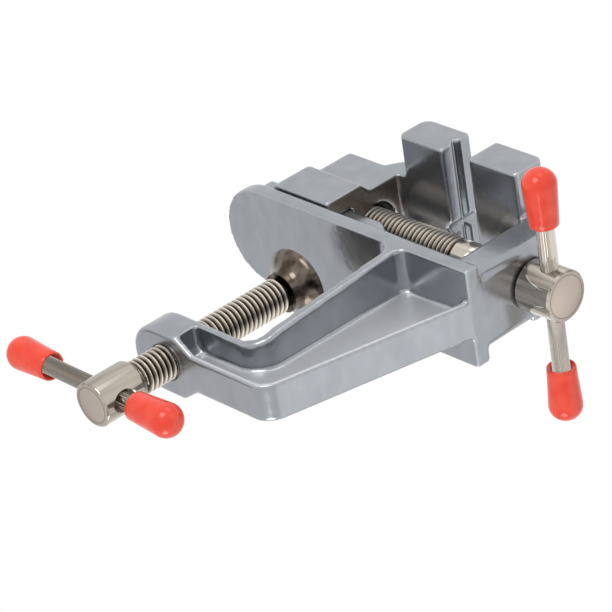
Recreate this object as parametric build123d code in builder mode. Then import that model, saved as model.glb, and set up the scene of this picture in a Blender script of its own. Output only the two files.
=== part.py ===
from build123d import *
from math import hypot
import os

os.makedirs("parts", exist_ok=True)

# Small clamp-on bench vise, in millimetres, standing as it is used
# The origin lies on the bench face, on the axis of the clamp screw
# X runs toward the jaw handle, Z runs up

# One overrun serves every cut that passes a face
overrun = 1.0

# Depth by which one form is sunk in the next before they are joined
root_bury = 1.0

# Base plate, the flat foot that rests on the bench top
plate_half_width = 11.5
plate_round_x = -20.7
plate_front_x = 42.3
plate_thickness = 3.75
plate_edge_round = 0.8

# Rail on top of the plate that guides the sliding jaw
rail_half_width = 7.5
rail_top_z = 10.8
rail_back_x = -28.0
rail_front_x = 6.5
rail_slope_x = 10.2
rail_slope_z = 8.4
rail_toe_x = 13.2
rail_edge_round = 0.8

# Bearing block that holds the jaw screw
block_back_x = 33.4
block_half_width = 8.8
block_brow_x = 34.2
block_brow_z = 25.2
block_crown = 6.0
block_top_round = 2.5
block_edge_round = 2.0

# Fixed jaw, carried by the bearing block
jaw_near_y = -19.5
jaw_far_y = 16.2
fixed_jaw_face_x = 19.5
fixed_jaw_low_z = 25.3
fixed_jaw_top_z = 34.0
fixed_jaw_edge_round = 0.9
fixed_jaw_top_round = 2.0

# C shaped frame that reaches under the bench
throat_x = 21.0
throat_round = 4.25
outer_foot_x = 30.7
arm_bottom_z = -47.2
arm_top_z = -39.5
outer_corner_round = 5.0
flange_back_x = 23.3
flange_corner_round = 6.0
flange_arm_low_z = -41.0
flange_mid_z = -35.0
flange_mid_half_width = 9.1
flange_low_z = -40.5
flange_low_half_width = 7.4
rim_half_width = 4.35
rim_thickness = 1.5
web_half_thickness = 1.3
pocket_top_round = 2.4
pocket_corner_round = 3.6
pocket_floor_round = 1.0
pocket_arm_top_z = -45.7
boss_back_x = -2.0
boss_wall_x = 4.5
boss_front_x = 9.0
frame_edge_round = 0.4
taper_round = 5.0
boss_edge_round = 0.5

# Thread form shared by the jaw screw and the clamp screw
thread_pitch = 1.25
thread_crest_radius = 3.92
thread_core_radius = 3.24
thread_crest_flat = 0.16
thread_root_flat = 0.28
thread_fit = 0.05
thread_flank = (thread_pitch - thread_crest_flat - thread_root_flat) / 2

# Jaw screw
screw_axis_z = 17.8
screw_end_x = -29.0
screw_end_chamfer = 0.7
shank_start_x = 21.6
shank_radius = 3.95
shank_chamfer = 0.4
shank_fit = 0.05
clip_groove_radius = 2.9
clip_groove_width = 1.0
hub_back_x = 42.6
hub_front_x = 52.0
hub_radius = 5.7
hub_chamfer = 0.35
bar_hole_x = 48.05

# Spring clip that keeps the jaw screw in the bearing block
clip_thickness = 0.9
clip_play = 0.05
clip_outer_radius = 5.6
clip_fit = 0.02
clip_gap_half_width = 1.9

# Cross bars, the same rod in both screws
bar_radius = 1.9
bar_fit = 0.05
bar_mouth_radius = 3.3
bar_mouth_depth = 1.25

# Plastic caps on the bar ends
cap_length = 12.8
cap_rim_radius = 3.15
cap_belly_radius = 3.7
cap_belly_length = 9.2
cap_crown_flat_radius = 0.9
cap_lip_radius = 2.65
cap_lip_depth = 1.5
cap_lip_floor_depth = 2.1
cap_wall = 1.4
cap_rim_round = 0.2

# Where the caps stand in the photo
jaw_bar_back_rim_y = -15.7
jaw_bar_front_rim_y = 18.0
clamp_bar_back_rim_x = -18.9
clamp_bar_front_rim_x = 7.8

# Sliding jaw
slide_fit = 0.1
slider_back_x = -20.5
slider_front_x = -2.9
slider_leg_low_z = 4.2
slider_leg_half_width = 11.8
slider_leg_top_z = 14.2
slider_body_half_width = 9.4
slider_body_low_z = 16.7
slider_body_top_z = 26.4
slider_corner_round = 2.0
slider_mouth_radius = 4.8
rise_start_x = -8.4
rise_mid_x = -6.1
rise_mid_z = 29.6
rise_end_x = -1.2
rise_join_x = 2.6
moving_jaw_back_x = -1.1
moving_jaw_face_x = 12.1
moving_jaw_low_z = 25.0
moving_jaw_top_z = 33.8
moving_jaw_crown_round = 2.5
moving_jaw_heel_round = 1.5
moving_jaw_lip_round = 0.9
moving_jaw_end_round = 0.5
moving_jaw_root_round = 0.5
groove_z = 29.3
groove_half_height = 1.25
groove_depth = 1.2
cross_groove_half_width = 1.6
cross_groove_depth = 1.4

# Clamp screw
clamp_screw_top_z = -14.5
clamp_neck_radius = 1.9
ball_centre_z = -12.6
ball_radius = 2.6
clamp_hub_top_z = -57.0
clamp_shoulder_length = 2.0
clamp_shoulder_z = clamp_hub_top_z + clamp_shoulder_length
clamp_hub_low_z = -66.7
clamp_hub_radius = 5.0
clamp_bar_hole_z = -61.6

# Swivel pad that presses against the underside of the bench
pad_face_z = -9.0
pad_radius = 8.0
pad_rim_low_z = -9.9
pad_flank_radius = 5.2
pad_flank_z = -11.9
pad_neck_radius = 4.5
pad_neck_top_z = -13.0
pad_low_z = -14.2
pad_edge_round = 0.25
socket_fit = 0.05


# Threaded rod rising along Z, its thread drawn as rings of the real pitch, depth and flats
def threaded_rod(rod_length):
    outline = [(0, 0)]
    for turn in range(int(rod_length / thread_pitch)):
        groove_z = turn * thread_pitch
        outline += [(thread_core_radius, groove_z), (thread_core_radius, groove_z + thread_root_flat),
                    (thread_crest_radius, groove_z + thread_root_flat + thread_flank),
                    (thread_crest_radius, groove_z + thread_pitch - thread_flank)]
    outline += [(thread_crest_radius, rod_length - thread_flank), (thread_core_radius, rod_length),
                (0, rod_length)]
    with BuildPart() as rod:
        with BuildSketch(Plane.XZ):
            with BuildLine():
                Polyline(outline, close=True)
            make_face()
        revolve(axis=Axis.Z)
    return rod.part


# Base plate with its round far end
with BuildPart() as plate:
    with BuildSketch():
        with Locations(((plate_front_x + plate_round_x) / 2, 0)):
            Rectangle(plate_front_x - plate_round_x, 2 * plate_half_width)
        with Locations((plate_round_x, 0)):
            Circle(plate_half_width)
    extrude(amount=plate_thickness)
    plate_edges = plate.edges().group_by(Axis.Z)[-1]
    fillet(plate_edges.sort_by(Axis.X)[:-1], plate_edge_round)

# Guide rail with a sloping front end
with BuildPart() as rail:
    with BuildSketch(Plane.XZ):
        with BuildLine():
            Polyline((rail_back_x, root_bury), (rail_back_x, rail_top_z), (rail_front_x, rail_top_z),
                     (rail_slope_x, rail_slope_z), (rail_toe_x, root_bury), close=True)
        make_face()
    extrude(amount=rail_half_width, both=True)
    fillet(rail.faces().sort_by(Axis.Z)[-1].edges().filter_by(Axis.X), rail_edge_round)

# Bearing block, rounded over at the top of its front face
with BuildPart() as block:
    with BuildSketch(Plane.XZ) as block_side:
        with BuildLine():
            Polyline((block_back_x, root_bury), (plate_front_x, root_bury), (plate_front_x, block_brow_z),
                     (block_brow_x, fixed_jaw_top_z), (block_back_x - overrun, fixed_jaw_top_z),
                     (block_back_x - overrun, fixed_jaw_low_z + overrun),
                     (block_back_x, fixed_jaw_low_z + overrun), close=True)
        make_face()
        fillet(block_side.vertices().sort_by_distance((plate_front_x, block_brow_z))[0], block_crown)
        fillet(block_side.vertices().sort_by_distance((block_brow_x, fixed_jaw_top_z))[0],
               block_top_round)
    extrude(amount=block_half_width, both=True)
    block_front = block.faces().sort_by(Axis.X)[-1].edges().filter_by(Axis.Z)
    block_top = block.faces().sort_by(Axis.Z)[-1].edges().filter_by(Axis.X)
    block_arcs = block.edges().filter_by(GeomType.CIRCLE)
    block_slope = block.edges().filter_by(GeomType.LINE).filter_by(
        lambda edge: edge.center().X > block_brow_x).filter_by(Axis.Z, reverse=True)
    fillet(block_front + block_top + block_arcs + block_slope.filter_by(Axis.Y, reverse=True).filter_by(
        Axis.X, reverse=True), block_edge_round)

# Fixed jaw
with BuildPart() as fixed_jaw:
    with BuildSketch(Plane.XY.offset(fixed_jaw_low_z)):
        with Locations(((fixed_jaw_face_x + block_back_x) / 2, (jaw_near_y + jaw_far_y) / 2)):
            Rectangle(block_back_x - fixed_jaw_face_x, jaw_far_y - jaw_near_y)
    extrude(amount=fixed_jaw_top_z - fixed_jaw_low_z)
    back_edges = fixed_jaw.faces().sort_by(Axis.X)[-1].edges().filter_by(Axis.Y).sort_by(Axis.Z)
    fillet(back_edges[-1], fixed_jaw_top_round)
    fillet(back_edges[0], fixed_jaw_edge_round)

# Wide flange of the frame, tapering from the plate down to the arm
with BuildPart() as flange:
    with BuildSketch(Plane.XZ) as flange_side:
        with BuildLine():
            Polyline((boss_wall_x, arm_top_z), (throat_x, arm_top_z), (throat_x, 0),
                     (throat_x - throat_round - overrun, 0),
                     (throat_x - throat_round - overrun, root_bury),
                     (flange_back_x + pocket_top_round + overrun, root_bury),
                     (flange_back_x + pocket_top_round + overrun, 0), (flange_back_x, 0),
                     (flange_back_x, flange_arm_low_z), (boss_wall_x, flange_arm_low_z), close=True)
        make_face()
        fillet(flange_side.vertices().sort_by_distance((throat_x, arm_top_z))[0], throat_round)
        fillet(flange_side.vertices().sort_by_distance((throat_x, 0))[0], throat_round)
        fillet(flange_side.vertices().sort_by_distance((flange_back_x, 0))[0], pocket_top_round)
        fillet(flange_side.vertices().sort_by_distance((flange_back_x, flange_arm_low_z))[0],
               flange_corner_round)
    extrude(amount=plate_half_width, both=True)
    with BuildSketch(Plane.YZ) as taper:
        with BuildLine():
            Polyline((0, root_bury), (plate_half_width, root_bury), (plate_half_width, 0),
                     (flange_mid_half_width, flange_mid_z), (flange_low_half_width, flange_low_z),
                     (flange_low_half_width, arm_bottom_z), (0, arm_bottom_z))
            mirror(about=Plane.YZ)
        make_face()
        for side in (1, -1):
            fillet(taper.vertices().sort_by_distance((side * flange_mid_half_width, flange_mid_z))[0],
                   taper_round)
            fillet(taper.vertices().sort_by_distance((side * flange_low_half_width, flange_low_z))[0],
                   taper_round)
    extrude(amount=plate_front_x, both=True, mode=Mode.INTERSECT)
    flange_edges = flange.edges().filter_by(
        lambda edge: abs(edge.center().Y) > rim_half_width and edge.center().Z < -frame_edge_round
        and edge.center().X > boss_wall_x + frame_edge_round)
    fillet(flange_edges, frame_edge_round)

# Pocket that leaves the frame with its thin web, one tool for both sides
frame_lean = plate_front_x - outer_foot_x
frame_drop = -arm_bottom_z
rim_width_x = rim_thickness * hypot(frame_lean, frame_drop) / frame_drop
pocket_foot_x = plate_front_x - rim_width_x + frame_lean * pocket_arm_top_z / frame_drop
pocket_head_x = plate_front_x - rim_width_x
with BuildPart() as pocket:
    with BuildSketch(Plane.XZ.offset(web_half_thickness)) as pocket_side:
        with BuildLine():
            Polyline((flange_back_x, 0), (pocket_head_x, 0), (pocket_foot_x, pocket_arm_top_z),
                     (boss_wall_x, pocket_arm_top_z), (boss_wall_x, flange_arm_low_z),
                     (flange_back_x, flange_arm_low_z), close=True)
        make_face()
        fillet(pocket_side.vertices().sort_by_distance((flange_back_x, flange_arm_low_z))[0],
               flange_corner_round)
        fillet(pocket_side.vertices().sort_by_distance((pocket_foot_x, pocket_arm_top_z))[0],
               pocket_corner_round)
        fillet(pocket_side.vertices().sort_by_distance((flange_back_x, 0))[0], pocket_top_round)
        fillet(pocket_side.vertices().sort_by_distance((pocket_head_x, 0))[0], pocket_floor_round)
        fillet(pocket_side.vertices().sort_by(Axis.X)[:2], pocket_floor_round)
    extrude(amount=plate_half_width)
    fillet(pocket.faces().sort_by(Axis.Y)[-1].edges(), pocket_floor_round)
    mirror(about=Plane.XZ)

# Narrow outer rim and web of the frame
with BuildPart() as frame:
    with BuildSketch(Plane.XZ) as frame_side:
        with BuildLine():
            Polyline((plate_front_x, 0), (outer_foot_x, arm_bottom_z), (boss_wall_x, arm_bottom_z),
                     (boss_wall_x, arm_top_z), (throat_x, arm_top_z), (throat_x, root_bury),
                     (plate_front_x, root_bury), close=True)
        make_face()
        fillet(frame_side.vertices().sort_by_distance((outer_foot_x, arm_bottom_z))[0],
               outer_corner_round)
        fillet(frame_side.vertices().sort_by_distance((throat_x, arm_top_z))[0], throat_round)
    extrude(amount=rim_half_width, both=True)
    frame_sides = frame.faces().sort_by(Axis.Y)[0].edges() + frame.faces().sort_by(Axis.Y)[-1].edges()
    fillet(frame_sides.filter_by(lambda edge: edge.center().Z < pocket_arm_top_z
                                 or edge.center().X > flange_back_x and edge.center().Z < -overrun),
           frame_edge_round)
    add(pocket.part, mode=Mode.SUBTRACT)
    pocket_lips = frame.edges(Select.LAST).filter_by(
        lambda edge: abs(edge.center().Y) > rim_half_width - overrun and edge.length > pocket_corner_round
        and (edge.center().X > pocket_foot_x and edge.center().Z < -overrun
             or edge.center().Z < flange_arm_low_z - overrun))
    fillet(pocket_lips, frame_edge_round)

# Threaded boss at the end of the lower arm
with BuildPart() as boss:
    with BuildSketch(Plane.XY.offset(arm_bottom_z)):
        with Locations((boss_back_x, 0)):
            Circle(flange_low_half_width)
        with Locations(((boss_back_x + boss_wall_x) / 2, 0)):
            Rectangle(boss_wall_x - boss_back_x, 2 * flange_low_half_width)
    extrude(amount=arm_top_z - arm_bottom_z)
    boss_edges = boss.edges().filter_by(lambda edge: edge.center().X < boss_wall_x - boss_edge_round)
    fillet(boss_edges.filter_by(Axis.Z, reverse=True), boss_edge_round)
    with BuildSketch(Plane.XY.offset(arm_bottom_z)):
        with BuildLine():
            Polyline((boss_wall_x, flange_low_half_width), (boss_front_x, rim_half_width),
                     (boss_front_x, -rim_half_width), (boss_wall_x, -flange_low_half_width), close=True)
        make_face()
    extrude(amount=pocket_arm_top_z - arm_bottom_z)

# Base casting, all of the above in one piece
with BuildPart() as base_casting:
    add(plate.part)
    add(rail.part)
    add(block.part)
    add(fixed_jaw.part)
    add(flange.part)
    add(frame.part)
    add(boss.part)
    with BuildSketch(Plane.YZ.offset(block_back_x - overrun)):
        with Locations((0, screw_axis_z)):
            Circle(shank_radius + shank_fit)
    extrude(amount=plate_front_x - block_back_x + 2 * overrun, mode=Mode.SUBTRACT)
    with BuildSketch(Plane.XY.offset(arm_bottom_z - overrun)):
        Circle(thread_crest_radius + thread_fit)
    extrude(amount=arm_top_z - arm_bottom_z + 2 * overrun, mode=Mode.SUBTRACT)
base_casting.part.label = "base_casting"
export_step(base_casting.part, "parts/base_casting.step")

# Sliding jaw, the slider astride the rail
with BuildPart() as slider:
    with BuildSketch(Plane.YZ.offset(slider_back_x)):
        with BuildLine():
            Polyline((0, slider_leg_low_z), (slider_leg_half_width, slider_leg_low_z),
                     (slider_leg_half_width, slider_leg_top_z),
                     (slider_body_half_width, slider_body_low_z),
                     (slider_body_half_width, slider_body_top_z), (0, slider_body_top_z))
            mirror(about=Plane.YZ)
        make_face()
    extrude(amount=slider_front_x - slider_back_x)
    back_edges = slider.faces().sort_by(Axis.X)[0].edges()
    fillet(back_edges.filter_by(Axis.Y, reverse=True) + back_edges.sort_by(Axis.Z)[-1:], slider_corner_round)
with BuildPart() as neck:
    with BuildSketch(Plane.XZ) as neck_side:
        with BuildLine():
            Polyline((rise_end_x, moving_jaw_top_z), (rise_join_x, moving_jaw_top_z),
                     (rise_join_x, moving_jaw_low_z), (slider_front_x, moving_jaw_low_z),
                     (slider_front_x, slider_body_low_z), (rise_start_x, slider_body_low_z),
                     (rise_start_x, slider_body_top_z))
            ThreePointArc((rise_start_x, slider_body_top_z), (rise_mid_x, rise_mid_z),
                          (rise_end_x, moving_jaw_top_z))
        make_face()
        fillet(neck_side.vertices().sort_by_distance((slider_front_x, moving_jaw_low_z))[0],
               moving_jaw_root_round)
    extrude(amount=slider_body_half_width, both=True)

# Wide jaw with its two V grooves
with BuildPart() as wide_jaw:
    with BuildSketch(Plane.XY.offset(moving_jaw_low_z)):
        with Locations(((moving_jaw_back_x + moving_jaw_face_x) / 2, (jaw_near_y + jaw_far_y) / 2)):
            Rectangle(moving_jaw_face_x - moving_jaw_back_x, jaw_far_y - jaw_near_y)
    extrude(amount=moving_jaw_top_z - moving_jaw_low_z)
    long_edges = wide_jaw.edges().filter_by(Axis.Y)
    fillet(long_edges.sort_by_distance((moving_jaw_back_x, 0, moving_jaw_top_z))[0], moving_jaw_crown_round)
    long_edges = wide_jaw.edges().filter_by(Axis.Y)
    fillet(long_edges.sort_by_distance((moving_jaw_back_x, 0, moving_jaw_low_z))[0], moving_jaw_heel_round)
    long_edges = wide_jaw.edges().filter_by(Axis.Y)
    fillet(long_edges.sort_by_distance((moving_jaw_face_x, 0, moving_jaw_top_z))[0], moving_jaw_lip_round)
    fillet(wide_jaw.faces().sort_by(Axis.Y)[0].edges() + wide_jaw.faces().sort_by(Axis.Y)[-1].edges(),
           moving_jaw_end_round)
    with BuildSketch(Plane.XZ):
        with BuildLine():
            Polyline((moving_jaw_face_x - groove_depth, groove_z),
                     (moving_jaw_face_x, groove_z + groove_half_height),
                     (moving_jaw_face_x + overrun, groove_z + groove_half_height),
                     (moving_jaw_face_x + overrun, groove_z - groove_half_height),
                     (moving_jaw_face_x, groove_z - groove_half_height), close=True)
        make_face()
    extrude(amount=overrun - jaw_near_y, both=True, mode=Mode.SUBTRACT)
    with BuildSketch(Plane.XY.offset(moving_jaw_low_z - overrun)):
        with BuildLine():
            Polyline((moving_jaw_face_x - cross_groove_depth, 0),
                     (moving_jaw_face_x, cross_groove_half_width),
                     (moving_jaw_face_x + overrun, cross_groove_half_width),
                     (moving_jaw_face_x + overrun, -cross_groove_half_width),
                     (moving_jaw_face_x, -cross_groove_half_width), close=True)
        make_face()
    extrude(amount=moving_jaw_top_z - moving_jaw_low_z + 2 * overrun, mode=Mode.SUBTRACT)

# Sliding jaw joined up, with the slot over the rail and the screw hole
jaw_bore_radius = thread_crest_radius + thread_fit
with BuildPart() as movable_jaw:
    add(slider.part)
    add(neck.part)
    add(wide_jaw.part)
    with BuildSketch(Plane.YZ.offset(slider_back_x - overrun)):
        with Locations((0, (rail_top_z + slide_fit) / 2)):
            Rectangle(2 * (rail_half_width + slide_fit), rail_top_z + slide_fit)
    extrude(amount=slider_front_x - slider_back_x + 2 * overrun, mode=Mode.SUBTRACT)
    with BuildSketch(Plane.YZ.offset(slider_back_x - overrun)):
        with Locations((0, screw_axis_z)):
            Circle(jaw_bore_radius)
    extrude(amount=slider_front_x - slider_back_x + 2 * overrun, mode=Mode.SUBTRACT)
    mouth = movable_jaw.faces().filter_by(GeomType.CYLINDER).sort_by_distance(
        (slider_front_x, 0, screw_axis_z + jaw_bore_radius))[0].edges().filter_by(GeomType.CIRCLE)
    chamfer(mouth.sort_by(Axis.X)[-1], slider_mouth_radius - jaw_bore_radius)
movable_jaw.part.label = "movable_jaw"
export_step(movable_jaw.part, "parts/movable_jaw.step")

# Jaw screw, turned in one piece with its hub
jaw_thread_end_x = screw_end_x + screw_end_chamfer
jaw_thread_start = Pos(jaw_thread_end_x, 0, screw_axis_z) * Rot(0, 90, 0)
jaw_thread = jaw_thread_start * threaded_rod(shank_start_x - jaw_thread_end_x)
clip_front_x = block_back_x - clip_play
clip_back_x = clip_front_x - clip_thickness
groove_middle_x = (clip_front_x + clip_back_x) / 2
screw_plane = Plane(origin=(0, 0, screw_axis_z), x_dir=(1, 0, 0), z_dir=(0, -1, 0))
screw_axis = Axis((0, 0, screw_axis_z), (1, 0, 0))
with BuildPart() as main_screw:
    with BuildSketch(screw_plane):
        with BuildLine():
            Polyline((screw_end_x, 0), (screw_end_x, thread_core_radius - screw_end_chamfer),
                     (jaw_thread_end_x, thread_core_radius), (jaw_thread_end_x, 0), close=True)
        make_face()
        with BuildLine():
            Polyline((shank_start_x, 0), (shank_start_x, shank_radius - shank_chamfer),
                     (shank_start_x + shank_chamfer, shank_radius),
                     (groove_middle_x - clip_groove_width / 2, shank_radius),
                     (groove_middle_x - clip_groove_width / 2, clip_groove_radius),
                     (groove_middle_x + clip_groove_width / 2, clip_groove_radius),
                     (groove_middle_x + clip_groove_width / 2, shank_radius), (hub_back_x, shank_radius),
                     (hub_back_x, hub_radius - hub_chamfer), (hub_back_x + hub_chamfer, hub_radius),
                     (hub_front_x - hub_chamfer, hub_radius), (hub_front_x, hub_radius - hub_chamfer),
                     (hub_front_x, 0), close=True)
        make_face()
    revolve(axis=screw_axis)
    with BuildSketch(Plane.XZ.offset(-hub_radius - overrun)):
        with Locations((bar_hole_x, screw_axis_z)):
            Circle(bar_radius + bar_fit)
    extrude(amount=2 * (hub_radius + overrun), mode=Mode.SUBTRACT)
    with BuildSketch(Plane(origin=(bar_hole_x, 0, screw_axis_z), x_dir=(0, 1, 0), z_dir=(1, 0, 0))):
        with BuildLine():
            Polyline((hub_radius - bar_mouth_depth, 0), (hub_radius - bar_mouth_depth, bar_radius),
                     (hub_radius, bar_mouth_radius), (hub_radius + overrun, bar_mouth_radius),
                     (hub_radius + overrun, 0), close=True)
            mirror(about=Plane.YZ)
        make_face()
    revolve(axis=Axis((bar_hole_x, 0, screw_axis_z), (0, 1, 0)), mode=Mode.SUBTRACT)
    add(jaw_thread, clean=False)
main_screw.part.label = "main_screw"
export_step(main_screw.part, "parts/main_screw.step")

# Spring clip in the groove behind the bearing block
with BuildPart() as clip:
    with BuildSketch(Plane.YZ.offset(clip_back_x)):
        with Locations((0, screw_axis_z)):
            Circle(clip_outer_radius)
            Circle(clip_groove_radius + clip_fit, mode=Mode.SUBTRACT)
        with Locations((0, screw_axis_z - clip_outer_radius)):
            Rectangle(2 * clip_gap_half_width, 2 * clip_outer_radius, mode=Mode.SUBTRACT)
    extrude(amount=clip_thickness)
clip.part.label = "screw_retaining_clip"
export_step(clip.part, "parts/screw_retaining_clip.step")

# Cap outline shared by the four caps, rim at zero and dome upward
with BuildPart() as cap:
    with BuildSketch(Plane.XZ):
        with BuildLine():
            Polyline((cap_crown_flat_radius, cap_length), (0, cap_length), (0, cap_length - cap_wall),
                     (bar_radius, cap_length - cap_wall), (bar_radius, cap_lip_floor_depth),
                     (cap_lip_radius, cap_lip_depth), (cap_lip_radius, 0),
                     (cap_rim_radius - cap_rim_round, 0), (cap_rim_radius, cap_rim_round),
                     (cap_belly_radius, cap_belly_length))
            TangentArc((cap_belly_radius, cap_belly_length), (cap_crown_flat_radius, cap_length),
                       tangent=(cap_belly_radius - cap_rim_radius, cap_belly_length))
        make_face()
    revolve(axis=Axis.Z)

# Jaw bar and its caps
bar_wall_reach = cap_length - cap_wall
jaw_bar_low_y = jaw_bar_back_rim_y - bar_wall_reach
jaw_bar_high_y = jaw_bar_front_rim_y + bar_wall_reach
with BuildPart() as main_bar:
    with BuildSketch(Plane.XZ.offset(-jaw_bar_high_y)):
        with Locations((bar_hole_x, screw_axis_z)):
            Circle(bar_radius)
    extrude(amount=jaw_bar_high_y - jaw_bar_low_y)
main_bar.part.label = "main_bar"
export_step(main_bar.part, "parts/main_bar.step")
main_bar_cap_back = Pos(bar_hole_x, jaw_bar_back_rim_y, screw_axis_z) * Rot(90, 0, 0) * cap.part
main_bar_cap_back.label = "main_bar_cap_back"
export_step(main_bar_cap_back, "parts/main_bar_cap_back.step")
main_bar_cap_front = Pos(bar_hole_x, jaw_bar_front_rim_y, screw_axis_z) * Rot(-90, 0, 0) * cap.part
main_bar_cap_front.label = "main_bar_cap_front"
export_step(main_bar_cap_front, "parts/main_bar_cap_front.step")

# Clamp screw with its hub below and its ball end above
clamp_thread_top_z = clamp_screw_top_z - screw_end_chamfer
clamp_thread = Pos(0, 0, clamp_shoulder_z) * threaded_rod(clamp_thread_top_z - clamp_shoulder_z)
neck_meet = (ball_radius ** 2 - clamp_neck_radius ** 2) ** 0.5
with BuildPart() as clamp_screw:
    with BuildSketch(Plane.XZ):
        with BuildLine():
            Polyline((0, clamp_shoulder_z), (0, clamp_hub_low_z),
                     (clamp_hub_radius - hub_chamfer, clamp_hub_low_z),
                     (clamp_hub_radius, clamp_hub_low_z + hub_chamfer), (clamp_hub_radius, clamp_hub_top_z))
            ThreePointArc((clamp_hub_radius, clamp_hub_top_z),
                          ((clamp_hub_radius + thread_core_radius) / 2 + hub_chamfer,
                           (clamp_hub_top_z + clamp_shoulder_z) / 2 + hub_chamfer),
                          (thread_core_radius, clamp_shoulder_z))
            Line((thread_core_radius, clamp_shoulder_z), (0, clamp_shoulder_z))
        make_face()
        with BuildLine():
            Polyline((0, ball_centre_z + ball_radius), (0, clamp_thread_top_z),
                     (thread_core_radius, clamp_thread_top_z),
                     (thread_core_radius - screw_end_chamfer, clamp_screw_top_z),
                     (clamp_neck_radius, clamp_screw_top_z), (clamp_neck_radius, ball_centre_z - neck_meet))
            ThreePointArc((clamp_neck_radius, ball_centre_z - neck_meet), (ball_radius, ball_centre_z),
                          (0, ball_centre_z + ball_radius))
        make_face()
    revolve(axis=Axis.Z)
    with BuildSketch(Plane.YZ.offset(-clamp_hub_radius - overrun)):
        with Locations((0, clamp_bar_hole_z)):
            Circle(bar_radius + bar_fit)
    extrude(amount=2 * (clamp_hub_radius + overrun), mode=Mode.SUBTRACT)
    with BuildSketch(Plane(origin=(0, 0, clamp_bar_hole_z), x_dir=(1, 0, 0), z_dir=(0, -1, 0))):
        with BuildLine():
            Polyline((clamp_hub_radius - bar_mouth_depth, 0),
                     (clamp_hub_radius - bar_mouth_depth, bar_radius),
                     (clamp_hub_radius, bar_mouth_radius), (clamp_hub_radius + overrun, bar_mouth_radius),
                     (clamp_hub_radius + overrun, 0), close=True)
            mirror(about=Plane.YZ)
        make_face()
    revolve(axis=Axis((0, 0, clamp_bar_hole_z), (1, 0, 0)), mode=Mode.SUBTRACT)
    add(clamp_thread, clean=False)
clamp_screw.part.label = "clamp_screw"
export_step(clamp_screw.part, "parts/clamp_screw.step")

# Clamp bar and its caps
clamp_bar_low_x = clamp_bar_back_rim_x - bar_wall_reach
clamp_bar_high_x = clamp_bar_front_rim_x + bar_wall_reach
with BuildPart() as clamp_bar:
    with BuildSketch(Plane.YZ.offset(clamp_bar_low_x)):
        with Locations((0, clamp_bar_hole_z)):
            Circle(bar_radius)
    extrude(amount=clamp_bar_high_x - clamp_bar_low_x)
clamp_bar.part.label = "clamp_bar"
export_step(clamp_bar.part, "parts/clamp_bar.step")
clamp_bar_cap_back = Pos(clamp_bar_back_rim_x, 0, clamp_bar_hole_z) * Rot(0, -90, 0) * cap.part
clamp_bar_cap_back.label = "clamp_bar_cap_back"
export_step(clamp_bar_cap_back, "parts/clamp_bar_cap_back.step")
clamp_bar_cap_front = Pos(clamp_bar_front_rim_x, 0, clamp_bar_hole_z) * Rot(0, 90, 0) * cap.part
clamp_bar_cap_front.label = "clamp_bar_cap_front"
export_step(clamp_bar_cap_front, "parts/clamp_bar_cap_front.step")

# Swivel pad, crimped round the ball
socket_radius = ball_radius + socket_fit
mouth_reach = ball_centre_z - pad_low_z
pad_mouth_radius = (socket_radius ** 2 - mouth_reach ** 2) ** 0.5
with BuildPart() as swivel_pad:
    with BuildSketch(Plane.XZ):
        with BuildLine():
            Polyline((0, ball_centre_z + socket_radius), (0, pad_face_z),
                     (pad_radius - pad_edge_round, pad_face_z), (pad_radius, pad_face_z - pad_edge_round),
                     (pad_radius, pad_rim_low_z), (pad_flank_radius, pad_flank_z),
                     (pad_neck_radius, pad_neck_top_z),
                     (pad_neck_radius, pad_low_z), (pad_mouth_radius, pad_low_z))
            ThreePointArc((pad_mouth_radius, pad_low_z), (socket_radius, ball_centre_z),
                          (0, ball_centre_z + socket_radius))
        make_face()
    revolve(axis=Axis.Z)
swivel_pad.part.label = "swivel_pad"
export_step(swivel_pad.part, "parts/swivel_pad.step")
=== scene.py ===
import math

import bmesh
import bpy
from mathutils import Matrix, Vector


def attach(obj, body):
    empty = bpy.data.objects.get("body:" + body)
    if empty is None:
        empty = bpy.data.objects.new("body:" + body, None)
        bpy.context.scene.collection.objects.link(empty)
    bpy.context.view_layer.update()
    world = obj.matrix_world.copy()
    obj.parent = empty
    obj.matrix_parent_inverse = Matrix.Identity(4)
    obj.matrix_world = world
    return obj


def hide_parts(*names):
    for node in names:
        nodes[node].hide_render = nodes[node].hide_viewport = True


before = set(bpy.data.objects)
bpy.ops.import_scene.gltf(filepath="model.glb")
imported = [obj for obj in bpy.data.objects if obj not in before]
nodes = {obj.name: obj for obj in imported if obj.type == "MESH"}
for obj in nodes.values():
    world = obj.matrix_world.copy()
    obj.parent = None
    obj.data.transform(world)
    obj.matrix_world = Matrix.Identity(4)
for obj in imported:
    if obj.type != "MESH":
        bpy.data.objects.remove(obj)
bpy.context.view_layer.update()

# The photograph looks up at the vise from below its clamp, past the jaw handle, and shows it
# lying down: the top of the picture is toward one side of the vise. The view was solved from the
# corners of the castings.
camera_data = bpy.data.cameras.new("photo_camera")
camera_data.sensor_width = 36.0
camera_data.lens = 192.9
camera_data.clip_start = 0.05
camera_data.clip_end = 20.0
camera = bpy.data.objects.new("photo_camera", camera_data)
bpy.context.collection.objects.link(camera)
picture_right = Vector((0.67915, 0.14058, 0.72041))
picture_up = Vector((-0.28077, -0.85708, 0.43194))
toward_viewer = Vector((0.67817, -0.49562, -0.54262))
camera_place = Vector((0.47052, -0.33770, -0.38463))
camera_turn = Matrix((picture_right, picture_up, toward_viewer)).transposed().to_4x4()
camera.matrix_world = Matrix.Translation(camera_place) @ camera_turn
bpy.context.scene.camera = camera

# A pale studio floor lies far under the vise, so that the camera and the lamps that look up at it
# stand over the floor. To the eye and in metal it is nearly as white as the backdrop, and it still
# takes the shadow of the vise.


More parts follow.
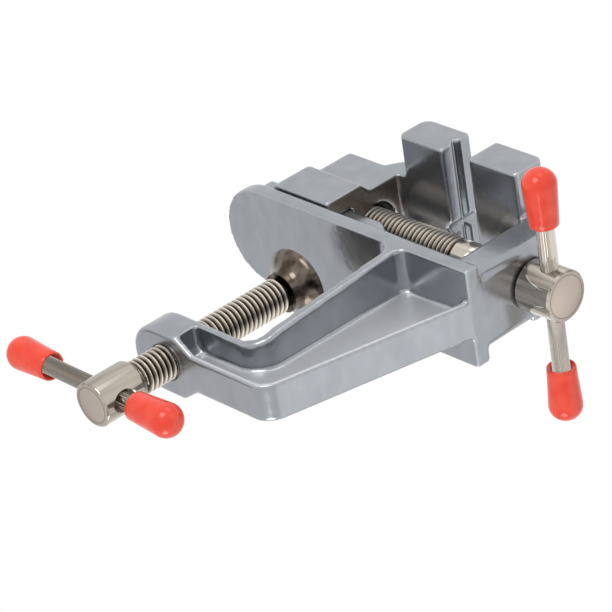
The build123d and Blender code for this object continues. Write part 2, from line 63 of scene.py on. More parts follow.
def linear(hex_code):
    """A colour written as sRGB hex, as the linear RGBA that a shader takes."""
    shares = [int(hex_code[i:i + 2], 16) / 255 for i in (1, 3, 5)]
    return [s / 12.92 if s <= 0.04045 else ((s + 0.055) / 1.055) ** 2.4 for s in shares] + [1.0]


def new_material(name):
    """A material with an empty node tree, and that tree."""
    material = bpy.data.materials.new(name)
    material.use_nodes = True
    material.node_tree.nodes.clear()
    return material, material.node_tree


def add_node(tree, kind, settings=None, links=None):
    """A node of that kind, its settings and socket values filled in and its inputs linked."""
    node = tree.nodes.new(kind)
    for name, value in (settings or {}).items():
        if isinstance(name, str) and hasattr(node, name):
            setattr(node, name, value)
        else:
            node.inputs[name].default_value = value
    for name, output in (links or {}).items():
        tree.links.new(output, node.inputs[name])
    return node


def seen_or_mirrored(tree):
    """One for what the camera sees, straight or mirrored, and nought for light on matte paint."""
    ray = add_node(tree, "ShaderNodeLightPath")
    mirrored = add_node(tree, "ShaderNodeMath", {"operation": "MAXIMUM"},
                        {0: ray.outputs["Is Glossy Ray"], 1: ray.outputs["Is Transmission Ray"]})
    return add_node(tree, "ShaderNodeMath", {"operation": "MAXIMUM"},
                    {0: ray.outputs["Is Camera Ray"], 1: mirrored.outputs[0]})


floor_z = -0.45
floor_half = 20.0
floor_mesh = bpy.data.meshes.new("studio_floor")
floor_mesh.from_pydata([(-floor_half, -floor_half, floor_z), (floor_half, -floor_half, floor_z),
                        (floor_half, floor_half, floor_z), (-floor_half, floor_half, floor_z)],
                       [], [(0, 1, 2, 3)])
studio_floor = bpy.data.objects.new("studio_floor", floor_mesh)
bpy.context.collection.objects.link(studio_floor)
# painted board, matte all over
floor_paint, tree = new_material("matte_white_studio_floor")
paint = add_node(tree, "ShaderNodeBsdfPrincipled",
                 {"Base Color": linear("#F1F1F0"), "Roughness": 0.85})
white = add_node(tree, "ShaderNodeEmission", {"Color": linear("#FFFFFF"), "Strength": 1.0})
# three quarters white, and the last quarter takes the shadow
white_share = add_node(tree, "ShaderNodeMath", {"operation": "MULTIPLY", 1: 0.75},
                       {0: seen_or_mirrored(tree).outputs[0]})
lit = add_node(tree, "ShaderNodeMixShader", {},
               {0: white_share.outputs[0], 1: paint.outputs[0], 2: white.outputs[0]})
add_node(tree, "ShaderNodeOutputMaterial", {}, {"Surface": lit.outputs[0]})
floor_mesh.materials.append(floor_paint)

# A white tent surrounds the vise, and shows to the camera and in the metal. On matte surfaces it
# is dimmer, and brightest toward the top of the picture. Four soft lamps stand in it.
surroundings = bpy.data.worlds.new("light_tent")
surroundings.use_nodes = True
bpy.context.scene.world = surroundings
tree = surroundings.node_tree
tree.nodes.clear()
brightest_side = (-0.28, -0.80, 0.53)
place = add_node(tree, "ShaderNodeTexCoord")
toward_light = add_node(tree, "ShaderNodeVectorMath",
                        {"operation": "DOT_PRODUCT", 1: brightest_side},
                        {0: place.outputs["Generated"]})
tent_ramp = add_node(tree, "ShaderNodeValToRGB", {}, {"Fac": toward_light.outputs["Value"]})
tent_ramp.color_ramp.elements[0].color = linear("#D8D8DA")
tent_ramp.color_ramp.elements[1].position = 0.8
tent_ramp.color_ramp.elements[1].color = linear("#FFFFFF")
tent = add_node(tree, "ShaderNodeBackground", {"Strength": 0.75},
                {"Color": tent_ramp.outputs["Color"]})
backdrop = add_node(tree, "ShaderNodeBackground", {"Color": linear("#FFFFFF"), "Strength": 1.0})
seen = add_node(tree, "ShaderNodeMixShader", {},
                {0: seen_or_mirrored(tree).outputs[0], 1: tent.outputs[0], 2: backdrop.outputs[0]})
add_node(tree, "ShaderNodeOutputWorld", {}, {"Surface": seen.outputs[0]})
vise_middle = Vector((0.008, 0.0, -0.012))


def soft_lamp(name, across, up, nearer, size, watts):
    """A square lamp placed by the picture's own directions and aimed at the middle of the vise."""
    lamp_data = bpy.data.lights.new(name, "AREA")
    lamp_data.size = size
    lamp_data.energy = watts
    lamp = bpy.data.objects.new(name, lamp_data)
    lamp.location = vise_middle + across * picture_right + up * picture_up + nearer * toward_viewer
    lamp.rotation_mode = "QUATERNION"
    lamp.rotation_quaternion = (vise_middle - lamp.location).to_track_quat("-Z", "Y")
    bpy.context.collection.objects.link(lamp)


# metres across, up and nearer than the vise, then the lamp's width and its watts
soft_lamp("overhead_lamp", 0.05, 0.60, 0.25, 0.25, 0.25)
soft_lamp("front_lamp", -0.25, 0.30, 0.50, 0.30, 1.15)
soft_lamp("right_lamp", 0.46, -0.35, 0.13, 0.45, 0.2)
soft_lamp("low_lamp", -0.05, -0.60, 0.10, 0.30, 0.9)

# Both castings are die cast in a zinc and aluminium alloy and tumbled bright. Their edges and
# inner corners are softly rounded. The skin is glossy, with faint ripples and flow marks, and
# worn duller along its edges, which are also painted paler: partly wear, partly painted highlight.
jaw_screw_centre = (0.0, 0.0, 0.0178)
# a pattern's scale counts its marks to the metre: ripples 3.8 mm apart, flow marks 4.8 mm wide and
# 9.1 mm long, and grain of 0.45 mm
ripples_per_metre = 260.0
flow_marks_per_metre = (210.0, 110.0, 210.0)
grains_per_metre = 2200.0
# painted shade covers the bores round the jaw screw as far out as the first radius, and is gone by
# the second
painted_shade_full_radius = 0.0050
painted_shade_end_radius = 0.0053


def axis_distance(tree, centre, along):
    """How far a point of the surface lies from the axis of a bore or a screw."""
    place = add_node(tree, "ShaderNodeTexCoord")
    across_scale = [1.0, 1.0, 1.0]
    across_scale["XYZ".index(along)] = 0.0
    centred = add_node(tree, "ShaderNodeVectorMath", {"operation": "SUBTRACT", 1: centre},
                       {0: place.outputs["Object"]})
    across = add_node(tree, "ShaderNodeVectorMath", {"operation": "MULTIPLY", 1: across_scale},
                      {0: centred.outputs["Vector"]})
    return add_node(tree, "ShaderNodeVectorMath", {"operation": "LENGTH"},
                    {0: across.outputs["Vector"]})


def die_cast_skin(name, patch_axis, patch_place, patch_reach, patch_colour, patch_metallic,
                  patch_roughness):
    """The tumbled skin of a casting, with one patch on the faces that look along an axis."""
    metal, tree = new_material(name)
    place = add_node(tree, "ShaderNodeTexCoord")
    # the stones of the tumbler leave soft ripples
    ripple = add_node(tree, "ShaderNodeTexNoise",
                      {"Scale": ripples_per_metre, "Detail": 2.0, "Roughness": 0.5},
                      {"Vector": place.outputs["Object"]})
    # the metal's flow in the die leaves marks drawn out across the casting
    flow_place = add_node(tree, "ShaderNodeMapping", {"Scale": flow_marks_per_metre},
                          {"Vector": place.outputs["Object"]})
    flow = add_node(tree, "ShaderNodeTexNoise", {"Scale": 1.0, "Detail": 4.0, "Roughness": 0.6},
                    {"Vector": flow_place.outputs["Vector"]})
    grain = add_node(tree, "ShaderNodeTexNoise",
                     {"Scale": grains_per_metre, "Detail": 3.0, "Roughness": 0.6},
                     {"Vector": place.outputs["Object"]})
    tone = add_node(tree, "ShaderNodeValToRGB", {}, {"Fac": flow.outputs["Fac"]})
    tone.color_ramp.elements[0].position = 0.3
    tone.color_ramp.elements[0].color = linear("#9B9EA3")
    tone.color_ramp.elements[1].position = 0.7
    tone.color_ramp.elements[1].color = linear("#A7AAAF")

    spot = add_node(tree, "ShaderNodeSeparateXYZ", {}, {0: place.outputs["Object"]})
    look = add_node(tree, "ShaderNodeSeparateXYZ", {}, {0: place.outputs["Normal"]})
    in_reach = add_node(tree, "ShaderNodeMath",
                        {"operation": "COMPARE", 1: patch_place, 2: patch_reach},
                        {0: spot.outputs[patch_axis]})
    along_axis = add_node(tree, "ShaderNodeMath", {"operation": "ABSOLUTE"},
                          {0: look.outputs[patch_axis]})
    faces_axis = add_node(tree, "ShaderNodeMapRange", {"From Min": 0.7, "From Max": 0.95},
                          {"Value": along_axis.outputs[0]})
    patch = add_node(tree, "ShaderNodeMath", {"operation": "MULTIPLY"},
                     {0: in_reach.outputs[0], 1: faces_axis.outputs["Result"]})
    # the patch colour is painted light on the frame's webs, and a darker tone on the slider's
    # milled face
    patched = add_node(tree, "ShaderNodeMixRGB", {2: linear(patch_colour)},
                       {0: patch.outputs[0], 1: tone.outputs["Color"]})

    # pointiness is 0.5 on a flat face and more along an edge
    shape = add_node(tree, "ShaderNodeNewGeometry")
    edge_wear_and_highlight = add_node(tree, "ShaderNodeMapRange", {"From Min": 0.52, "From Max": 0.56, "To Max": 0.7},
                    {"Value": shape.outputs["Pointiness"]})
    # the paler edge colour is partly wear and partly a painted highlight along the edges
    worn_and_highlit = add_node(tree, "ShaderNodeMixRGB", {2: linear("#C4C7CC")},
                    {0: edge_wear_and_highlight.outputs["Result"], 1: patched.outputs[0]})
    # painted shade darkens the bores round the jaw screw
    distance = axis_distance(tree, jaw_screw_centre, "X")
    bore_shade = add_node(tree, "ShaderNodeMapRange",
                      {"From Min": painted_shade_end_radius, "From Max": painted_shade_full_radius},
                      {"Value": distance.outputs["Value"]})
    bore_shaded = add_node(tree, "ShaderNodeMixRGB", {2: linear("#2A2622")},
                       {0: bore_shade.outputs["Result"], 1: worn_and_highlit.outputs[0]})
    metallic = add_node(tree, "ShaderNodeMapRange", {"To Min": 0.9, "To Max": patch_metallic},
                        {"Value": patch.outputs[0]})
    duller = add_node(tree, "ShaderNodeMath", {"operation": "MULTIPLY", 1: -0.15},
                      {0: edge_wear_and_highlight.outputs["Result"]})
    edge_metallic = add_node(tree, "ShaderNodeMath", {"operation": "ADD"},
                             {0: metallic.outputs["Result"], 1: duller.outputs[0]})
    sheen = add_node(tree, "ShaderNodeMapRange",
                     {"From Min": 0.3, "From Max": 0.7, "To Min": 0.18, "To Max": 0.26},
                     {"Value": grain.outputs["Fac"]})
    patch_sheen = add_node(tree, "ShaderNodeMapRange", {"To Max": patch_roughness},
                           {"Value": patch.outputs[0]})
    wear_sheen = add_node(tree, "ShaderNodeMath", {"operation": "MULTIPLY", 1: 0.08},
                          {0: edge_wear_and_highlight.outputs["Result"]})
    rougher = add_node(tree, "ShaderNodeMath", {"operation": "ADD"},
                       {0: sheen.outputs["Result"], 1: patch_sheen.outputs["Result"]})
    roughness = add_node(tree, "ShaderNodeMath", {"operation": "ADD"},
                         {0: rougher.outputs[0], 1: wear_sheen.outputs[0]})

    soft_bump = add_node(tree, "ShaderNodeBump", {"Strength": 0.18, "Distance": 0.0004},
                         {"Height": ripple.outputs["Fac"]})
    flow_bump = add_node(tree, "ShaderNodeBump", {"Strength": 0.05, "Distance": 0.0002},
                         {"Height": flow.outputs["Fac"], "Normal": soft_bump.outputs["Normal"]})
    fine_bump = add_node(tree, "ShaderNodeBump", {"Strength": 0.05, "Distance": 0.00005},
                         {"Height": grain.outputs["Fac"], "Normal": flow_bump.outputs["Normal"]})
    skin = add_node(tree, "ShaderNodeBsdfPrincipled", {},
                    {"Metallic": edge_metallic.outputs[0], "Base Color": bore_shaded.outputs[0],
                     "Roughness": roughness.outputs[0], "Normal": fine_bump.outputs["Normal"]})
    add_node(tree, "ShaderNodeOutputMaterial", {}, {"Surface": skin.outputs[0]})
    return metal


# a CAD mesh is loose triangles, and corners as near as this are one corner
merge_distance = 0.000002


def plain_mesh(maker, name):
    """What an object's modifiers make, as a plain mesh, with the maker object taken away."""
    bpy.context.view_layer.update()
    evaluated = maker.evaluated_get(bpy.context.evaluated_depsgraph_get())
    mesh = bpy.data.meshes.new_from_object(evaluated)
    mesh.name = name
    bpy.data.objects.remove(maker)
    return mesh


def set_piece(mesh, name, body, node_name, slot, *materials):
    """A finished piece that rides its body, stands in for its CAD solid and takes its finish."""
    if mesh.materials:
        mesh.materials.clear()
    for material in materials:
        mesh.materials.append(material)
    piece = bpy.data.objects.new(name, mesh)
    bpy.context.collection.objects.link(piece)
    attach(piece, body)
    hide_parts(node_name)
    return piece


def cast_form(node_name, voxel_size, *cutters):
    """The CAD solid with its edges and inner corners rounded over, as a casting leaves the die."""
    source = nodes[node_name].data.copy()
    work = bmesh.new()
    work.from_mesh(source)
    bmesh.ops.remove_doubles(work, verts=work.verts, dist=merge_distance)
    work.to_mesh(source)
    work.free()
    maker = bpy.data.objects.new(node_name + "_maker", source)
    bpy.context.collection.objects.link(maker)
    for cutter in cutters:
        machining = maker.modifiers.new("machining", "BOOLEAN")
        machining.operation = "DIFFERENCE"
        machining.object = cutter
    voxels = maker.modifiers.new("die_skin", "REMESH")
    voxels.mode = "VOXEL"
    voxels.voxel_size = voxel_size
    rounding = maker.modifiers.new("rounding", "SMOOTH")
    rounding.factor = 0.5
    rounding.iterations = 6
    mesh = plain_mesh(maker, node_name + "_form")
    mesh.polygons.foreach_set("use_smooth", [True] * len(mesh.polygons))
    for cutter in cutters:
        bpy.data.objects.remove(cutter)
    return mesh


# The frame is one casting: the plate with its guide rail, the bearing block, the fixed jaw and the
# C of the clamp. The tumbling stones don't reach the webs of the C, which keep the matte skin of
# the die. The webs are also painted paler: painted light, for the light reflected into the pocket.
frame_voxel = 0.00045
web_reach = 0.006
# the webs' paler colour is painted light; their lower metallic and higher roughness are a duller
# skin
frame_skin = die_cast_skin("tumbled_die_cast_frame", "Y", 0.0, web_reach, "#CDCFD2", 0.45, 0.1)
set_piece(cast_form("base_casting", frame_voxel), "frame_casting", "base",
          "base_casting", "casting", frame_skin)

# The sliding jaw is the second casting, and runs astride the guide rail. Its front face is milled
# flat, and its bore opens in a wide mouth around the screw.
slider_voxel = 0.00032
slider_front_x = -0.0029
milled_reach = 0.0003
mouth_radius = 0.0053
mouth_depth = 0.0018
mouth_turn = Matrix.Rotation(math.pi / 2, 4, "Y")
mouth_place = Matrix.Translation((slider_front_x, 0.0, jaw_screw_centre[2])) @ mouth_turn
mouth_shape = bmesh.new()
bmesh.ops.create_cone(mouth_shape, cap_ends=True, segments=64, radius1=mouth_radius,
                      radius2=mouth_radius, depth=2 * mouth_depth, matrix=mouth_place)
mouth_mesh = bpy.data.meshes.new("slider_mouth")
mouth_shape.to_mesh(mouth_mesh)
mouth_shape.free()
mouth_cutter = bpy.data.objects.new("slider_mouth", mouth_mesh)
bpy.context.collection.objects.link(mouth_cutter)
slider_skin = die_cast_skin("tumbled_die_cast_slider", "X", slider_front_x, milled_reach, "#8C837A",
                            0.9, 0.08)
set_piece(cast_form("movable_jaw", slider_voxel, mouth_cutter), "sliding_jaw_casting",
          "sliding_jaw", "movable_jaw", "casting", slider_skin)

# Each screw is turned from steel bar in one piece with its hub, its thread is rolled on, and it is
# nickel plated. The plate is warm and bright. Painted shade darkens the roots of the thread, and a
# painted highlight brightens its crests.
# the painted reflection streaks are 2 mm wide and 30 mm long
reflection_streaks_per_metre_across = 500.0
reflection_streaks_per_metre_along = 33.0
thread_pitch = 0.00125
thread_core_radius = 0.00324
thread_crest_radius = 0.00392
thread_crest_width = 0.00016
thread_root_width = 0.00028
# the facing tool's real marks are 0.1 mm apart, too fine to show, and are drawn 0.3 mm apart, as
# one turn of a sine wave each
facing_radians_per_metre = 21000.0
# inside the rim of a hub's end: where the darker band begins and is full, and the ring
rim_band_start = 0.0012
rim_band_full = 0.0009
ring_from_rim = 0.00105
ring_half_width = 0.0001


def nickel_plate(name, along, dull, bright, dull_roughness, bright_roughness):
    """Polished nickel over steel, mirror bright, with lengthwise streaks of painted reflection."""
    metal, tree = new_material(name)
    place = add_node(tree, "ShaderNodeTexCoord")
    reflection_streak_scale = [reflection_streaks_per_metre_across] * 3
    reflection_streak_scale["XYZ".index(along)] = reflection_streaks_per_metre_along
    reflection_streak_place = add_node(tree, "ShaderNodeMapping", {"Scale": reflection_streak_scale},
                            {"Vector": place.outputs["Object"]})
    reflection_streak = add_node(tree, "ShaderNodeTexNoise", {"Scale": 1.0, "Detail": 2.0, "Roughness": 0.4},
                      {"Vector": reflection_streak_place.outputs["Vector"]})
    # dark and light streaks of painted reflection along the part
    tone = add_node(tree, "ShaderNodeValToRGB", {}, {"Fac": reflection_streak.outputs["Fac"]})
    tone.color_ramp.elements[0].position = 0.38
    tone.color_ramp.elements[0].color = linear(dull)
    tone.color_ramp.elements[1].position = 0.62
    tone.color_ramp.elements[1].color = linear(bright)
    sheen = add_node(tree, "ShaderNodeMapRange",
                     {"From Min": 0.3, "From Max": 0.7, "To Min": bright_roughness,
                      "To Max": dull_roughness},
                     {"Value": reflection_streak.outputs["Fac"]})
    plate = add_node(tree, "ShaderNodeBsdfPrincipled", {"Metallic": 1.0},
                     {"Base Color": tone.outputs["Color"], "Roughness": sheen.outputs["Result"]})
    add_node(tree, "ShaderNodeOutputMaterial", {}, {"Surface": plate.outputs[0]})
    return metal


def thread_painted_shade(name, centre, along):
    """Rolled thread, with a painted highlight along the crests and painted shade at the roots."""
    metal, tree = new_material(name)
    distance = axis_distance(tree, centre, along)
    height = add_node(tree, "ShaderNodeMapRange",
                      {"From Min": thread_core_radius, "From Max": thread_crest_radius},
                      {"Value": distance.outputs["Value"]})
    # painted shade at the roots, a painted highlight at the crests
    tone = add_node(tree, "ShaderNodeValToRGB", {}, {"Fac": height.outputs["Result"]})
    tone.color_ramp.elements[0].position = 0.0
    tone.color_ramp.elements[0].color = linear("#3F3831")
    tone.color_ramp.elements[1].position = 1.0
    tone.color_ramp.elements[1].color = linear("#F0E8DC")
    flank = tone.color_ramp.elements.new(0.45)
    flank.color = linear("#8F857A")
    plate = add_node(tree, "ShaderNodeBsdfPrincipled", {"Metallic": 1.0, "Roughness": 0.36},
                     {"Base Color": tone.outputs["Color"]})
    add_node(tree, "ShaderNodeOutputMaterial", {}, {"Surface": plate.outputs[0]})
    return metal


def faced_end(name, centre, along, rim):
    """The plated end face of a hub, matte from the facing tool, with a thin ring of painted shade
    near its rim.
    """
    metal, tree = new_material(name)
    distance = axis_distance(tree, centre, along)
    marks = add_node(tree, "ShaderNodeMath", {"operation": "MULTIPLY", 1: facing_radians_per_metre},
                     {0: distance.outputs["Value"]})
    wave = add_node(tree, "ShaderNodeMath", {"operation": "SINE"}, {0: marks.outputs[0]})
    near_rim = add_node(tree, "ShaderNodeMapRange",
                        {"From Min": rim - rim_band_start, "From Max": rim - rim_band_full},
                        {"Value": distance.outputs["Value"]})
    tone = add_node(tree, "ShaderNodeValToRGB", {}, {"Fac": near_rim.outputs["Result"]})
    tone.color_ramp.elements[0].color = linear("#C0B4AA")
    tone.color_ramp.elements[1].color = linear("#B9AEA4")
    # the ring is a thin dark line of painted shade near the rim
    ring = add_node(tree, "ShaderNodeMath",
                    {"operation": "COMPARE", 1: rim - ring_from_rim, 2: ring_half_width},
                    {0: distance.outputs["Value"]})
    ringed = add_node(tree, "ShaderNodeMixRGB", {2: linear("#8E847A")},
                      {0: ring.outputs[0], 1: tone.outputs["Color"]})
    groove = add_node(tree, "ShaderNodeBump", {"Strength": 0.06, "Distance": 0.00003},
                      {"Height": wave.outputs[0]})
    plate = add_node(tree, "ShaderNodeBsdfPrincipled", {"Metallic": 1.0, "Roughness": 0.45},
                     {"Base Color": ringed.outputs[0], "Normal": groove.outputs["Normal"]})
    add_node(tree, "ShaderNodeOutputMaterial", {}, {"Surface": plate.outputs[0]})
    return metal


# the ridge is swept along a helix, with its foot sunk in a round core
thread_tree = bpy.data.node_groups.new("rolled_thread", "GeometryNodeTree")
thread_sockets = {}
for socket_name, socket_kind in (
        ("Geometry", "NodeSocketGeometry"), ("Pitch", "NodeSocketFloat"),
        ("Length", "NodeSocketFloat"), ("Core radius", "NodeSocketFloat"),
        ("Depth", "NodeSocketFloat"), ("Crest width", "NodeSocketFloat"),
        ("Foot width", "NodeSocketFloat"), ("Finish", "NodeSocketMaterial")):
    thread_sockets[socket_name] = thread_tree.interface.new_socket(
        socket_name, in_out="INPUT", socket_type=socket_kind).identifier
thread_tree.interface.new_socket("Geometry", in_out="OUTPUT", socket_type="NodeSocketGeometry")
given = add_node(thread_tree, "NodeGroupInput")
ridge_length = add_node(thread_tree, "ShaderNodeMath", {"operation": "SUBTRACT"},
                        {0: given.outputs["Length"], 1: given.outputs["Pitch"]})
turns = add_node(thread_tree, "ShaderNodeMath", {"operation": "DIVIDE"},
                 {0: ridge_length.outputs[0], 1: given.outputs["Pitch"]})
helix = add_node(thread_tree, "GeometryNodeCurveSpiral", {"Resolution": 40},
                 {"Rotations": turns.outputs[0], "Start Radius": given.outputs["Core radius"],
                  "End Radius": given.outputs["Core radius"], "Height": ridge_length.outputs[0]})
upright = add_node(thread_tree, "GeometryNodeSetCurveNormal", {"mode": "Z_UP"},
                   {"Curve": helix.outputs[0]})
half_pitch = add_node(thread_tree, "ShaderNodeMath", {"operation": "MULTIPLY", 1: 0.5},
                      {0: given.outputs["Pitch"]})
lift = add_node(thread_tree, "ShaderNodeCombineXYZ", {}, {"Z": half_pitch.outputs[0]})
ridge_section = add_node(thread_tree, "GeometryNodeCurvePrimitiveQuadrilateral",
                         {"mode": "TRAPEZOID", "Offset": 0.0},
                         {"Bottom Width": given.outputs["Foot width"],
                          "Top Width": given.outputs["Crest width"],
                          "Height": given.outputs["Depth"]})
section_turn = add_node(thread_tree, "GeometryNodeTransform", {"Rotation": (0.0, 0.0, math.pi / 2)},
                        {"Geometry": ridge_section.outputs[0]})
ridge = add_node(thread_tree, "GeometryNodeCurveToMesh", {"Fill Caps": True},
                 {"Curve": upright.outputs[0], "Profile Curve": section_turn.outputs[0]})
lifted_ridge = add_node(thread_tree, "GeometryNodeTransform", {},
                        {"Geometry": ridge.outputs[0], "Translation": lift.outputs[0]})
core = add_node(thread_tree, "GeometryNodeMeshCylinder", {"Vertices": 48},
                {"Radius": given.outputs["Core radius"], "Depth": given.outputs["Length"]})
half_length = add_node(thread_tree, "ShaderNodeMath", {"operation": "MULTIPLY", 1: 0.5},
                       {0: given.outputs["Length"]})
core_lift = add_node(thread_tree, "ShaderNodeCombineXYZ", {}, {"Z": half_length.outputs[0]})
lifted_core = add_node(thread_tree, "GeometryNodeTransform", {},
                       {"Geometry": core.outputs[0], "Translation": core_lift.outputs[0]})
joined = add_node(thread_tree, "GeometryNodeJoinGeometry")
thread_tree.links.new(lifted_ridge.outputs[0], joined.inputs[0])
thread_tree.links.new(lifted_core.outputs[0], joined.inputs[0])
real = add_node(thread_tree, "GeometryNodeRealizeInstances", {}, {"Geometry": joined.outputs[0]})
finished = add_node(thread_tree, "GeometryNodeSetMaterial", {},
                    {"Geometry": real.outputs[0], "Material": given.outputs["Finish"]})
add_node(thread_tree, "NodeGroupOutput", {}, {0: finished.outputs[0]})


def rolled_thread(name, length, material):
    """A threaded rod that rises from the origin along Z, its ridge sunk a little in its core."""
    maker = bpy.data.objects.new(name + "_maker", bpy.data.meshes.new(name + "_start"))
    bpy.context.collection.objects.link(maker)
    rolling = maker.modifiers.new("rolling", "NODES")
    rolling.node_group = thread_tree
    depth = 2 * (thread_crest_radius - thread_core_radius)
    flank_slope = (thread_pitch - thread_root_width - thread_crest_width) / (depth / 2)
    for socket_name, value in (("Pitch", thread_pitch), ("Length", length),
                               ("Core radius", thread_core_radius), ("Depth", depth),
                               ("Crest width", thread_crest_width),
                               ("Foot width", thread_crest_width + flank_slope * depth),
                               ("Finish", material)):
        rolling[thread_sockets[socket_name]] = value
    return plain_mesh(maker, name)


def turned_part(node_name, cuts):
    """The smooth turned parts of a CAD screw: what lies beyond the cuts, each cut face closed."""
    work = bmesh.new()
    for cut_place, cut_normal in cuts:
        half = bmesh.new()
        half.from_mesh(nodes[node_name].data)
        bmesh.ops.remove_doubles(half, verts=half.verts, dist=merge_distance)
        cut = bmesh.ops.bisect_plane(half, geom=half.verts[:] + half.edges[:] + half.faces[:],
                                     plane_co=cut_place, plane_no=cut_normal, clear_inner=True)
        rim = [edge for edge in cut["geom_cut"] if isinstance(edge, bmesh.types.BMEdge)]
        bmesh.ops.edgeloop_fill(half, edges=rim)
        kept = bpy.data.meshes.new("kept")
        half.to_mesh(kept)
        half.free()
        work.from_mesh(kept)
        bpy.data.meshes.remove(kept)
    return work


radius_slack = 0.00003
end_face_slack = 0.00002
# how much of a face's normal lies along an axis that it looks along, at least, or across, at most
along_share = 0.99
across_share = 0.2
# a shaft's round face looks away from its axis, and a hole's toward it
shaft = 1
hole = -1
# the finishes of a screw, in the order of its materials
plate_finish = 0
thread_finish = 1
end_finish = 2


def shade_round(mesh, rounds):
    """Shading normals from each turned or drilled radius, so that facets don't streak the shine."""
    normals = [(0.0, 0.0, 0.0)] * len(mesh.loops)
    for polygon in mesh.polygons:
        for centre, along, radius, side in rounds:
            axis = "XYZ".index(along)
            arms = [mesh.vertices[index].co - centre for index in polygon.vertices]
            for arm in arms:
                arm[axis] = 0.0
            on_round = all(abs(arm.length - radius) < radius_slack for arm in arms)
            if on_round and abs(polygon.normal[axis]) < across_share:
                for loop, arm in zip(polygon.loop_indices, arms):
                    normals[loop] = arm.normalized() * side
    mesh.normals_split_custom_set(normals)


def screw_piece(name, body, node_name, cuts, thread_length, thread_place, end_place, end_normal,
                rounds, metals):
    """The turned parts and the rolled thread of one screw, joined in one mesh."""
    work = turned_part(node_name, cuts)
    for face in work.faces:
        on_end = all(abs((vert.co - end_place).dot(end_normal)) < end_face_slack
                     for vert in face.verts)
        face.material_index = end_finish if on_end else plate_finish
    turned_count = len(work.faces)
    thread_mesh = rolled_thread(name + "_thread", thread_length, metals[thread_finish])
    thread_mesh.transform(thread_place)
    work.from_mesh(thread_mesh)
    bpy.data.meshes.remove(thread_mesh)
    work.faces.ensure_lookup_table()
    for face in work.faces[turned_count:]:
        # the cut end of the rod shows bare plate, and the painted shade keeps to the thread itself
        cut_flat = abs(face.normal.dot(end_normal)) > along_share
        face.material_index = plate_finish if cut_flat else thread_finish
    mesh = bpy.data.meshes.new(name)
    work.to_mesh(mesh)
    work.free()
    mesh.polygons.foreach_set("use_smooth", [True] * len(mesh.polygons))
    mesh.set_sharp_from_angle(angle=math.radians(28))
    shade_round(mesh, rounds)
    set_piece(mesh, name, body, node_name, "screw_steel", *metals)


jaw_axis_z = jaw_screw_centre[2]
jaw_thread_start_x = -0.029
jaw_thread_length = 0.0509
# the thread runs 0.2 mm into the shank, which the CAD screw gives from here to its hub
jaw_shank_start_x = 0.0217
jaw_hub_end_x = 0.052
jaw_hub_radius = 0.0057
jaw_bar_hole_x = 0.04805
bar_hole_radius = 0.00195
toward_jaw_hub = Vector((1.0, 0.0, 0.0))
jaw_thread_turn = Matrix.Rotation(math.pi / 2, 4, "Y")
screw_piece("jaw_screw_turned", "jaw_screw", "main_screw",
            [(Vector((jaw_shank_start_x, 0.0, 0.0)), toward_jaw_hub)], jaw_thread_length,
            Matrix.Translation((jaw_thread_start_x, 0.0, jaw_axis_z)) @ jaw_thread_turn,
            Vector((jaw_hub_end_x, 0.0, jaw_axis_z)), toward_jaw_hub,
            [(Vector(jaw_screw_centre), "X", jaw_hub_radius, shaft),
             (Vector((jaw_bar_hole_x, 0.0, jaw_axis_z)), "Y", bar_hole_radius, hole)],
            (nickel_plate("nickel_plated_jaw_screw", "X", "#8B8278", "#D0C7BC", 0.1, 0.05),
             thread_painted_shade("jaw_thread_painted_shade", jaw_screw_centre, "X"),
             faced_end("faced_jaw_hub_end", jaw_screw_centre, "X", jaw_hub_radius)))

clamp_screw_centre = (0.0, 0.0, 0.0)
clamp_thread_bottom_z = -0.0553
clamp_thread_length = 0.0405
# the CAD screw gives the hub below the thread and the neck and ball above it
clamp_hub_top_z = -0.0551
clamp_neck_bottom_z = -0.0151
clamp_hub_end_z = -0.0667
clamp_hub_radius = 0.005
clamp_bar_hole_z = -0.0616
toward_clamp_hub = Vector((0.0, 0.0, -1.0))
screw_piece("clamp_screw_turned", "clamp_spindle", "clamp_screw",
            [(Vector((0.0, 0.0, clamp_hub_top_z)), toward_clamp_hub),
             (Vector((0.0, 0.0, clamp_neck_bottom_z)), -toward_clamp_hub)], clamp_thread_length,
            Matrix.Translation((0.0, 0.0, clamp_thread_bottom_z)),
            Vector((0.0, 0.0, clamp_hub_end_z)), toward_clamp_hub,
            [(Vector(clamp_screw_centre), "Z", clamp_hub_radius, shaft),
             (Vector((0.0, 0.0, clamp_bar_hole_z)), "X", bar_hole_radius, hole)],
            (nickel_plate("nickel_plated_clamp_screw", "Z", "#958C82", "#BFB6AB", 0.1, 0.06),
             thread_painted_shade("clamp_thread_painted_shade", clamp_screw_centre, "Z"),
             faced_end("faced_clamp_hub_end", clamp_screw_centre, "Z", clamp_hub_radius)))

# The cross bars are drawn steel rod, nickel plated, and slide in the cross holes of the hubs. The
# swivel pad is pressed steel, crimped round the ball of the clamp screw, with a duller dark plate.


def smooth_form(node_name):
    """A copy of the CAD solid, merged so that round faces shade smooth and edges stay sharp."""
    work = bmesh.new()
    work.from_mesh(nodes[node_name].data)
    bmesh.ops.remove_doubles(work, verts=work.verts, dist=merge_distance)
    mesh = bpy.data.meshes.new(node_name + "_form")
    work.to_mesh(mesh)
    work.free()
    mesh.polygons.foreach_set("use_smooth", [True] * len(mesh.polygons))
    mesh.set_sharp_from_angle(angle=math.radians(30))
    return mesh


set_piece(smooth_form("main_bar"), "jaw_cross_bar", "jaw_bar", "main_bar", "bar_steel",
          nickel_plate("nickel_plated_jaw_bar", "Y", "#B9B0A5", "#D6CEC3", 0.16, 0.14))
# the clamp bar is the same plated rod as the jaw bar, and its darker colours are painted shade
set_piece(smooth_form("clamp_bar"), "clamp_cross_bar", "clamp_handle", "clamp_bar", "bar_steel",
          nickel_plate("nickel_plated_clamp_bar_painted_shade", "X", "#756D64", "#91887E", 0.16, 0.14))
set_piece(smooth_form("swivel_pad"), "clamp_swivel_pad", "pad", "swivel_pad", "pad_steel",
          nickel_plate("nickel_plated_pad", "Z", "#4B423A", "#7B7065", 0.28, 0.18))

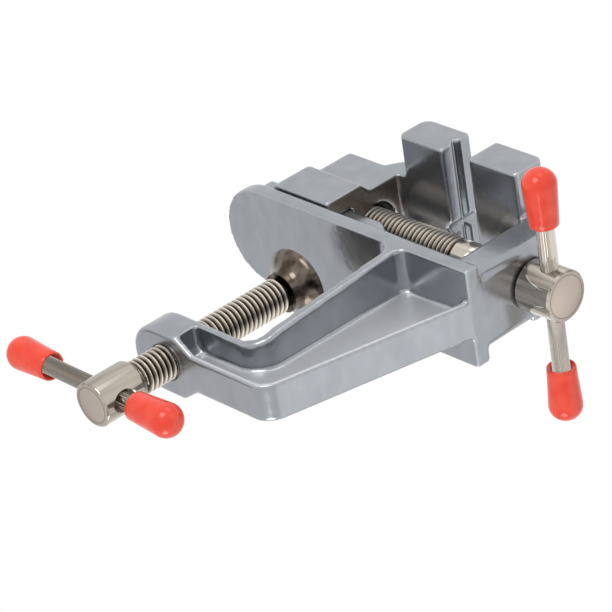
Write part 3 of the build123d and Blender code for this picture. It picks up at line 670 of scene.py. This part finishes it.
# The retaining clip is stamped from spring steel and blackened, so it is dark and half dull. It
# snaps in a groove of the jaw screw behind the bearing block, and keeps the screw from travelling.
blackened_steel, tree = new_material("blackened_spring_steel")
black_oxide = add_node(tree, "ShaderNodeBsdfPrincipled",
                       {"Base Color": linear("#3A3A3C"), "Metallic": 0.9, "Roughness": 0.34})
add_node(tree, "ShaderNodeOutputMaterial", {}, {"Surface": black_oxide.outputs[0]})
set_piece(smooth_form("screw_retaining_clip"), "retaining_clip", "jaw_screw",
          "screw_retaining_clip", "spring_steel", blackened_steel)

# Caps on the bar ends are dipped soft vinyl, glossy orange-red, pushed on by hand. Their thick
# skin is a little uneven.
vinyl, tree = new_material("dipped_orange_red_vinyl")
# dimples 3 mm apart
dimples_per_metre = 330.0
place = add_node(tree, "ShaderNodeTexCoord")
dimple = add_node(tree, "ShaderNodeTexNoise", {"Scale": dimples_per_metre, "Detail": 1.0},
                  {"Vector": place.outputs["Object"]})
tone = add_node(tree, "ShaderNodeValToRGB", {}, {"Fac": dimple.outputs["Fac"]})
tone.color_ramp.elements[0].position = 0.3
tone.color_ramp.elements[0].color = linear("#F7422A")
tone.color_ramp.elements[1].position = 0.7
tone.color_ramp.elements[1].color = linear("#FF5339")
skin_bump = add_node(tree, "ShaderNodeBump", {"Strength": 0.15, "Distance": 0.0003},
                     {"Height": dimple.outputs["Fac"]})
skin = add_node(tree, "ShaderNodeBsdfPrincipled", {"Roughness": 0.16, "IOR": 1.5},
                {"Base Color": tone.outputs["Color"], "Normal": skin_bump.outputs["Normal"]})
add_node(tree, "ShaderNodeOutputMaterial", {}, {"Surface": skin.outputs[0]})
for bar_name, body in (("main_bar", "jaw_bar"), ("clamp_bar", "clamp_handle")):
    for end_name in ("back", "front"):
        cap_name = bar_name + "_cap_" + end_name
        cap = set_piece(smooth_form(cap_name), cap_name + "_dipped", body, cap_name, "cap_plastic",
                        vinyl)
        # mirrored caps would draw thin red lines along the edges of the castings
        cap.visible_glossy = False

bpy.context.scene.view_settings.view_transform = "Standard"
